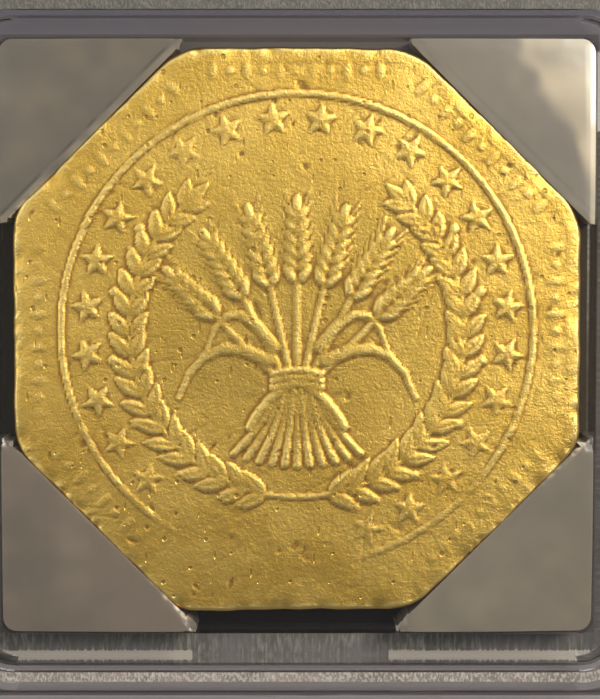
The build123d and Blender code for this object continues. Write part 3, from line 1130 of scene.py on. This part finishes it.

# %% [markdown]
# ## Seat and card
# The seat is a thin black frame. In the gaps beside the coin its gloss shows nearly black, and painted light
# makes the left and right gaps a little lighter, the right and top ones lighter still. Under the collar its
# top has been rubbed by the collar's foot, so there it is olive grey with short streaks that run out from
# the well, and on the label side it gets a lighter painted tone. The streaks follow the nearest wall: along
# the wall the noise is fine, and across it the noise is stretched. Beside the pads painted light covers the
# dark corners, and towards the corners the outermost edge gets a pale painted reflection, with white painted
# highlights along the right. Beside the top right pad a white painted highlight stands where the wall
# catches the lamp, and a fine pale painted glint marks the collar's foot on that side. The card is bare matt
# paper stock, with fibres and a slightly warm white.

# %% Make the seat's black
black, tree = new_material("Black seat plastic")
vector = object_vector(tree)
x, y, _ = split(vector)
grain, specks = effect(grain_group, vector, ("Height", "Speckle"), Scale=1800.0)
clouds = effect(blotch_group, vector, "Mask", Scale=200.0)
up = y - well_middle_y
edge_width, right_from, pale_from = 0.4 * MM, 20 * MM, 7.2 * MM
foot_inset, foot_half = 0.02 * MM, 0.1 * MM
glint_foot, glint_top, glint_wide_from = 0.1 * MM, 0.6 * MM, 6.6 * MM
side_wall = math_node("GREATER_THAN", abs(x), abs(up))
along = put(tree, "ShaderNodeMix", "Result", {"Factor": side_wall, "A": x, "B": up}, data_type="FLOAT")
reach = larger(abs(x), abs(up))
streak_place = put(tree, "ShaderNodeCombineXYZ", "Vector", {"X": along, "Y": reach * 0.18})
streaks = ramp(noise(streak_place, 3800.0, 3.0, 0.65), 0.42, 0.7)
scuffed = ramp(noise(vector, 260.0, 2.0), 0.3, 0.75)
painted_light_top = ramp(up, label_side, label_side + 0.5 * MM)
painted_light_right = ramp(x, right_from, right_from + 0.5 * MM)

ragged_reach = larger(abs(x), abs(y - seat_middle_y)) + streaks * (0.16 * MM)
outer_edge = ramp(ragged_reach, seat_high.x - edge_width - 0.06 * MM, seat_high.x - edge_width)
painted_reflection_edge = outer_edge * ramp(abs(along + 0.5 * MM), pale_from, pale_from + 0.1 * MM)
# Under the collar: olive grey streaks and random scuffs, a pale painted reflection on the outer edge towards
# the corners, white painted highlights on the right edge, and a lighter painted tone on the label side.
rubbed_and_painted_tone = coats(
    (0.135, 0.128, 0.112),
    (streaks, (0.34, 0.328, 0.285)),
    (scuffed, (0.2, 0.187, 0.187)),
    (painted_reflection_edge, (0.52, 0.477, 0.42)),
    (outer_edge * (painted_light_right * streaks), (0.8, 0.8, 0.77)),
    (painted_light_top, (0.2, 0.188, 0.21)),
)

# A fine pale painted glint along the collar's foot on the right, paler towards the label end.
foot = ramp(abs(x - (well_half - foot_inset)), foot_half, foot_half / 2) * painted_light_right
foot = foot * mix_numbers(streaks, 0.45, 1.0)
foot_glint_tone = coats((0.16, 0.15, 0.125), (ramp(up, -4 * MM, 7 * MM), (0.55, 0.54, 0.5)))
pad_end = well_half - pad_leg
# In the gaps: near-black gloss with random clouds, painted light that lightens the left and right gaps, the
# right and top ones more, and painted light over the dark corners beside the pads.
black_and_painted_tone = coats(
    (0.003, 0.002, 0.0015),
    (clouds, (0.008, 0.006, 0.004)),
    (side_wall, (0.033, 0.029, 0.016)),
    (painted_light_right, (0.062, 0.05, 0.033)),
    (foot, foot_glint_tone),
    (ramp(abs(along), pad_end - 0.05 * MM, pad_end + 0.05 * MM), (0.15, 0.133, 0.112)),
    (painted_light_top, (0.13, 0.118, 0.115)),
)

# Beside the top right pad a white painted highlight, where the wall catches the lamp.
wide_from = pad_high.y - glint_wide_from
glint_width = mix_numbers(ramp(y, wide_from, wide_from + 0.4 * MM), 0.35, 1.2) * (1.0 * MM)
past_well = x - well_half
painted_glint = ramp(past_well, -0.1 * MM, 0) * math_node("LESS_THAN", past_well, glint_width)
painted_glint = painted_glint * ramp(y, pad_low.y - glint_foot, pad_low.y - glint_foot + 0.6 * MM)
painted_glint = painted_glint * ramp(y, pad_high.y - glint_top, pad_high.y - glint_top - 0.3 * MM)
under_collar = ramp(reach, well_half + 0.4 * MM, well_half + 0.5 * MM)
shader = principled(
    tree,
    Metallic=0.0,
    IOR=1.5,
    Specular_IOR_Level=0.12,
    Base_Color=coats(black_and_painted_tone, (under_collar, rubbed_and_painted_tone), (painted_glint, (0.85, 0.84, 0.82))),
    Roughness=mix_numbers(specks, 0.3, 0.5),
    Normal=bumps((grain, 0.01, 0.6)),
)
surface_of(shader)
dress("coin_seat", black)
print("seat dressed")

# %% Make the card's paper
paper, tree = new_material("Card paper")
vector = object_vector(tree)
fibres, specks = effect(grain_group, vector, ("Height", "Speckle"), Scale=2600.0)
clouds = effect(blotch_group, vector, "Mask", Scale=400.0)
shader = principled(
    tree,
    Metallic=0.0,
    IOR=1.45,
    Base_Color=coats((0.76, 0.75, 0.71), (clouds, (0.71, 0.7, 0.66)), (specks, (0.6, 0.58, 0.53))),
    Roughness=mix_numbers(specks, 0.75, 0.9),
    Normal=bumps((fibres, 0.02, 0.5)),
)
surface_of(shader)
dress("label_card", paper)
print("card dressed")

# %% [markdown]
# ## Weld beads
# The halves were joined by melting the tongue of one into the groove of the other. What shows from outside
# is the bead: a pale, grainy, uneven strip of once molten plastic on top of each tongue. It follows a path,
# so Geometry Nodes make it. A flat profile is swept along the seam's middle line, in steps finer than the
# grain, and every point is then moved a little by noise.

# %% Build the node group that sweeps a bead


def geometry_group(name, sizes, things):
    """A geometry node group with named sizes, objects and materials going in. Gives it and its inputs."""
    tree = bpy.data.node_groups.new(name, "GeometryNodeTree")
    tree.interface.new_socket("Geometry", in_out="OUTPUT", socket_type="NodeSocketGeometry")
    number_inputs(tree, sizes)
    for label, kind in things.items():
        tree.interface.new_socket(label, in_out="INPUT", socket_type=kind)
    return tree, put(tree, "NodeGroupInput", (*sizes, *things))


def close_group(geometry, material):
    """Makes instances real, gives them their material and puts them out."""
    tree = geometry.tree
    real = put(tree, "GeometryNodeRealizeInstances", "Geometry", {"Geometry": geometry})
    sources = {"Geometry": real, "Material": material}
    finished = put(tree, "GeometryNodeSetMaterial", "Geometry", sources)
    put(tree, "NodeGroupOutput", (), {"Geometry": finished})


def rectangle(width, height):
    """A rectangle's outline as a curve."""
    sources = {"Width": width, "Height": height}
    return put(width.tree, "GeometryNodeCurvePrimitiveQuadrilateral", "Curve", sources, mode="RECTANGLE")


def spaced(curve, mode, value):
    """A curve with even points: a length apart, or a count of them."""
    sources = {"Curve": curve, mode: value}
    return put(curve.tree, "GeometryNodeResampleCurve", "Curve", sources, mode=mode.upper())


bead_sizes = {
    "Half width": 24.0 * MM,
    "Half height": 24.0 * MM,
    "Corner radius": 3.0 * MM,
    "Width": 0.8 * MM,
    "Thickness": 0.12 * MM,
    "Step": 0.13 * MM,
    "Roughness": 0.05 * MM,
    "Seed": 3.0,
}
bead_tree, inputs = geometry_group("Weld bead", bead_sizes, {"Material": "NodeSocketMaterial"})
half_width, half_height, radius, width, bead_height, step, roughness, bead_seed, material = inputs
sources = {"Curve": rectangle(half_width * 2.0, half_height * 2.0), "Radius": radius, "Count": 8}
seam = put(bead_tree, "GeometryNodeFilletCurve", "Curve", sources, mode="POLY")
profile = spaced(rectangle(width, bead_height), "Count", 16)
sources = {"Curve": spaced(seam, "Length", step), "Profile Curve": profile}
swept = put(bead_tree, "GeometryNodeCurveToMesh", "Mesh", sources)
spot = put(bead_tree, "GeometryNodeInputPosition", "Position")
sources = {"Vector": spot, "W": bead_seed, "Scale": 4200.0, "Detail": 2.0}
wild = put(bead_tree, "ShaderNodeTexNoise", "Color", sources, noise_dimensions="4D")
sources = {0: wild, 1: (0.5, 0.5, 0.5)}
centred = put(bead_tree, "ShaderNodeVectorMath", "Vector", sources, operation="SUBTRACT")
sources = {0: centred, "Scale": roughness}
shift = put(bead_tree, "ShaderNodeVectorMath", "Vector", sources, operation="SCALE")
sources = {"Geometry": swept, "Offset": shift}
close_group(put(bead_tree, "GeometryNodeSetPosition", "Geometry", sources), material)
print("bead nodes:", len(bead_tree.nodes))

# %% Bake a node group to a plain mesh


def baked(name, tree, centre, settings):
    """Runs a geometry node group and returns an object with the plain mesh it makes."""
    seedling = add_object(name + " seedling", bpy.data.meshes.new(name + " seedling"))
    runner = seedling.modifiers.new("Nodes", "NODES")
    runner.node_group = tree
    for item in tree.interface.items_tree:
        if item.in_out == "INPUT" and item.name in settings:
            runner[item.identifier] = settings[item.name]
    bpy.context.view_layer.update()
    seen = seedling.evaluated_get(bpy.context.evaluated_depsgraph_get())
    mesh = bpy.data.meshes.new_from_object(seen)
    seedling.modifiers.remove(runner)
    bpy.data.objects.remove(seedling)
    mesh.name = name
    for vertex in mesh.vertices:
        vertex.co += centre
    return add_object(name, mesh)


# %% Lay the beads on the two tongues
bead_plastic, tree = new_material("Melted bead plastic")
vector = object_vector(tree)
grain = effect(grain_group, vector, "Height", Scale=3000.0)
clouds = effect(blotch_group, vector, "Mask", Scale=500.0)
strands = ramp(noise(stretched(vector, (1.0, 0.55, 1.0), radians(50)), 6200.0, 2.0, 0.6), 0.4, 0.66)
# Towards the label end the bead gets painted shade.
above = ramp(split(vector)[1], seat_middle_y + label_side, seat_middle_y + 23 * MM)
tone = coats(
    (0.37, 0.325, 0.285),
    (clouds, (0.24, 0.214, 0.192)),
    (strands, (0.66, 0.6, 0.535)),
    (above * 0.75, (0.07, 0.078, 0.061)),
)
shader = principled(
    tree,
    Metallic=0.0,
    IOR=1.5,
    Subsurface_Weight=0.3,
    Subsurface_Scale=0.4 * MM,
    Base_Color=tone,
    Roughness=mix_numbers(clouds, 0.3, 0.5),
    Normal=bumps((grain, 0.03, 0.9), (strands, 0.05, 0.8)),
)
surface_of(shader)

seat_clearance, tongue_inset, half_tongue = 0.1, 0.4, 0.375
coin_headroom, parting_height, tongue_height = 0.2, 3.9, 0.5
bead_lift = 0.075 * MM
skirt_tongue_inset = 1.2 * MM
wall_tongue_half = seat_high.x + (seat_clearance + tongue_inset + half_tongue) * MM
wall_tongue_top = coin_top + (coin_headroom + tongue_height) * MM
skirt_tongue_top = (parting_height + tongue_height) * MM
beads = {
    "Weld_bead_round_well": {
        "centre": Vector((0, seat_middle_y, wall_tongue_top + bead_lift)),
        "Half width": wall_tongue_half,
        "Half height": wall_tongue_half,
        "Corner radius": 3.3 * MM,
    },
    "Weld_bead_in_skirt": {
        "centre": Vector((0, 0, skirt_tongue_top + bead_lift)),
        "Half width": cad_high.x - skirt_tongue_inset,
        "Half height": cad_high.y - skirt_tongue_inset,
        "Corner radius": 2.0 * MM,
    },
}
for count, (name, settings) in enumerate(beads.items()):
    centre = settings.pop("centre")
    settings.update({"Width": 0.68 * MM, "Thickness": 0.1 * MM, "Seed": 3.0 + count})
    settings["Material"] = bead_plastic
    bead = baked(name, bead_tree, centre, settings)
    face_outwards(bead.data, smooth_to=40, merge=0.0005 * MM)
    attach(bead, "root")
    print(name, "triangles:", triangles(bead.data))

# %% [markdown]
# ## Milled edge
# A gold coin's edge is cut with fine upright ribs, so that nobody can file it unseen. They repeat along the
# coin's worn outline, so Geometry Nodes set one small rib at every step of that line and turn it outwards.

# %% Build the node group that sets the ribs
things = {"Outline": "NodeSocketObject", "Rib": "NodeSocketObject", "Material": "NodeSocketMaterial"}
rib_tree, (spacing, outline, rib, material) = geometry_group("Milled edge", {"Spacing": 0.4 * MM}, things)
line, one_rib = (
    put(rib_tree, "GeometryNodeObjectInfo", "Geometry", {"Object": source}) for source in (outline, rib)
)
line = put(rib_tree, "GeometryNodeMeshToCurve", "Curve", {"Mesh": line})
tangent = put(rib_tree, "GeometryNodeInputTangent", "Tangent")
turned = put(
    rib_tree, "FunctionNodeAlignRotationToVector", "Rotation", {"Vector": tangent}, axis="X", pivot_axis="Z"
)
sources = {"Points": spaced(line, "Length", spacing), "Instance": one_rib, "Rotation": turned}
close_group(put(rib_tree, "GeometryNodeInstanceOnPoints", "Instances", sources), material)
print("rib nodes:", len(rib_tree.nodes))

# %% Set the ribs round the coin
rib_inset = 0.075
rib_low, rib_high = -thickness + 0.75, -0.62
turns = np.linspace(0, 2 * pi, 720, endpoint=False)
reaches = outline_reach(turns) - rib_inset
loop_points = np.stack([reaches * np.cos(turns), reaches * np.sin(turns), np.zeros(len(turns))], 1) * MM
loop_edges = [(n, (n + 1) % len(turns)) for n in range(len(turns))]
outline_mesh = bpy.data.meshes.new("Coin outline")
outline_mesh.from_pydata(loop_points.tolist(), loop_edges, [])
rib_profile = [(-0.13, 0.0), (0.13, 0.0), (0.05, -0.055), (-0.05, -0.055)]
rib_points = [(x * MM, y * MM, z * MM) for z in (rib_low, rib_high) for x, y in rib_profile]
rib_faces = [(3, 2, 1, 0), (4, 5, 6, 7)] + [(n, (n + 1) % 4, (n + 1) % 4 + 4, n + 4) for n in range(4)]
rib_mesh = bpy.data.meshes.new("Rib")
rib_mesh.from_pydata(rib_points, [], rib_faces)
helpers = {"Outline": add_object("Coin outline", outline_mesh), "Rib": add_object("Rib", rib_mesh)}
settings = {**helpers, "Spacing": 0.42 * MM, "Material": gold}
ribs = baked("Milled_edge_ribs", rib_tree, Vector((coin_x, coin_y, coin_top)), settings)
face_outwards(ribs.data, smooth_to=20, merge=0.0005 * MM)
for helper in helpers.values():
    bpy.data.objects.remove(helper)
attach(ribs, "root")
print("rib triangles:", triangles(ribs.data))
